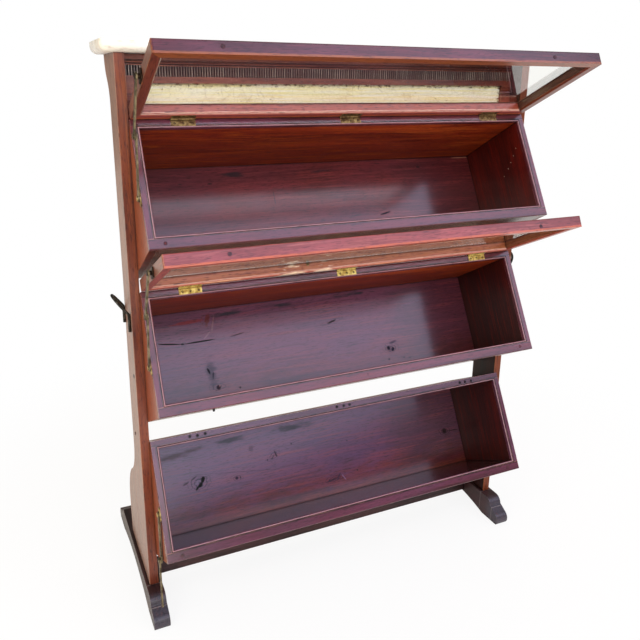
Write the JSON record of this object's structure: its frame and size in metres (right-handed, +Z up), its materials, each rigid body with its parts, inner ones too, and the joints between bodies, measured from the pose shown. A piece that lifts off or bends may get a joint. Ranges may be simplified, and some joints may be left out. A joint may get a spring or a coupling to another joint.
{
  "type": "shop display cabinet",
  "caption": "Free-standing shop display cabinet: tilted goods bins between two uprights, glazed lids on folding stays, marble top on sled feet.",
  "frame": {"origin": "on the floor, at the middle of the width and of the whole depth with both lids open", "axes": "+X along the bins to the viewer's right, +Y to the back, +Z up"},
  "size_m": [1.066, 0.6462, 1.291],
  "materials": {
    "mahogany_stand": "old French polish, worn on the edges",
    "mahogany_face": "old polish with a purple-brown bloom",
    "mahogany_board": "polished boards with knots and shakes",
    "mahogany_lid": "old polish worn to orange on the inner edges",
    "stained_base": "dark stain, scuffed",
    "white_marble": "honed",
    "cream_paint": "aged cream paint, crazed",
    "window_glass": "clear",
    "aged_brass": "tarnished",
    "wrought_iron": "oiled black"
  },
  "bodies": {
    "stand": {"upright_left": "mahogany_stand", "upright_right": "mahogany_stand", "foot_left": "stained_base", "foot_right": "stained_base", "bottom_stretcher": "stained_base", "marble_top": "white_marble", "cornice_moulding": "mahogany_stand", "reeded_strip": "mahogany_stand", "frieze_rail": "mahogany_stand", "frieze_backboard": "mahogany_stand", "sign_frame": "mahogany_stand", "sign_panel": "cream_paint", "side_hooks": "wrought_iron", "bottom_bin_top_rail": "mahogany_face", "bottom_bin_bottom_rail": "mahogany_face", "bottom_bin_stiles": "mahogany_face", "bottom_bin_end_left": "mahogany_board", "bottom_bin_end_right": "mahogany_board", "bottom_bin_top": "mahogany_board", "bottom_bin_floor": "mahogany_board", "bottom_bin_back": "mahogany_board", "middle_bin_top_rail": "mahogany_face", "middle_bin_bottom_rail": "mahogany_face", "middle_bin_stiles": "mahogany_face", "middle_bin_end_left": "mahogany_board", "middle_bin_end_right": "mahogany_board", "middle_bin_top": "mahogany_board", "middle_bin_floor": "mahogany_board", "middle_bin_back": "mahogany_board", "upper_bin_top_rail": "mahogany_face", "upper_bin_bottom_rail": "mahogany_face", "upper_bin_stiles": "mahogany_face", "upper_bin_end_left": "mahogany_board", "upper_bin_end_right": "mahogany_board", "upper_bin_top": "mahogany_board", "upper_bin_floor": "mahogany_board", "upper_bin_back": "mahogany_board", "middle_hinge_bin_leaves": "aged_brass", "upper_hinge_bin_leaves": "aged_brass", "stay_pivots": "aged_brass", "hinge_pins": "aged_brass"},
    "middle_lid": {"middle_lid_free_rail": "mahogany_lid", "middle_lid_hinge_rail": "mahogany_lid", "middle_lid_stiles": "mahogany_lid", "middle_lid_glass": "window_glass", "middle_hinge_lid_leaves": "aged_brass", "middle_stay_lid_bracket": "aged_brass"},
    "upper_lid": {"upper_lid_free_rail": "mahogany_lid", "upper_lid_hinge_rail": "mahogany_lid", "upper_lid_stiles": "mahogany_lid", "upper_lid_glass": "window_glass", "upper_hinge_lid_leaves": "aged_brass", "upper_stay_lid_bracket": "aged_brass"},
    "bottom_stay_lower": {"bottom_stay_lower_arm": "aged_brass"},
    "bottom_stay_upper": {"bottom_stay_upper_arm": "aged_brass"},
    "middle_stay_lower": {"middle_stay_lower_arm": "aged_brass"},
    "middle_stay_upper": {"middle_stay_upper_arm": "aged_brass"},
    "upper_stay_lower": {"upper_stay_lower_arm": "aged_brass"},
    "upper_stay_upper": {"upper_stay_upper_arm": "aged_brass"}
  },
  "joints": [
    {"name": "middle_lid_hinge", "type": "hinge", "parent": "stand", "child": "middle_lid", "pos_m": [0, -0.08458, 0.79532], "axis": [1, 0, 0], "range_deg": [0, 86.3]},
    {"name": "middle_stay_lower_pivot", "type": "hinge", "parent": "stand", "child": "middle_stay_lower", "pos_m": [0, -0.15169, 0.65232], "axis": [1, 0, 0], "range_deg": [-31.2, 0]},
    {"name": "middle_stay_upper_pivot", "type": "hinge", "parent": "middle_lid", "child": "middle_stay_upper", "pos_m": [0, -0.2227, 0.8724], "axis": [1, 0, 0], "range_deg": [0, 32.3]},
    {"name": "upper_lid_hinge", "type": "hinge", "parent": "stand", "child": "upper_lid", "pos_m": [0, -0.08458, 1.14372], "axis": [1, 0, 0], "range_deg": [0, 87.1]},
    {"name": "upper_stay_lower_pivot", "type": "hinge", "parent": "stand", "child": "upper_stay_lower", "pos_m": [0, -0.15169, 1.00072], "axis": [1, 0, 0], "range_deg": [-30.9, 0]},
    {"name": "upper_stay_upper_pivot", "type": "hinge", "parent": "upper_lid", "child": "upper_stay_upper", "pos_m": [0, -0.22161, 1.22272], "axis": [1, 0, 0], "range_deg": [0, 31.9]},
    {"name": "bottom_stay_lower_pivot", "type": "hinge", "parent": "stand", "child": "bottom_stay_lower", "pos_m": [0, -0.15169, 0.30392], "axis": [1, 0, 0], "range_deg": [-110, 3]},
    {"name": "bottom_stay_elbow", "type": "hinge", "parent": "bottom_stay_lower", "child": "bottom_stay_upper", "pos_m": [0, -0.15169, 0.18574], "axis": [1, 0, 0], "range_deg": [0, 22]}
  ],
  "couplings": [
    {"joint": "middle_stay_lower_pivot", "follows": "middle_lid_hinge", "ratio": -0.3608},
    {"joint": "middle_stay_upper_pivot", "follows": "middle_lid_hinge", "ratio": 0.37258},
    {"joint": "upper_stay_lower_pivot", "follows": "upper_lid_hinge", "ratio": -0.35328},
    {"joint": "upper_stay_upper_pivot", "follows": "upper_lid_hinge", "ratio": 0.36496}
  ]
}
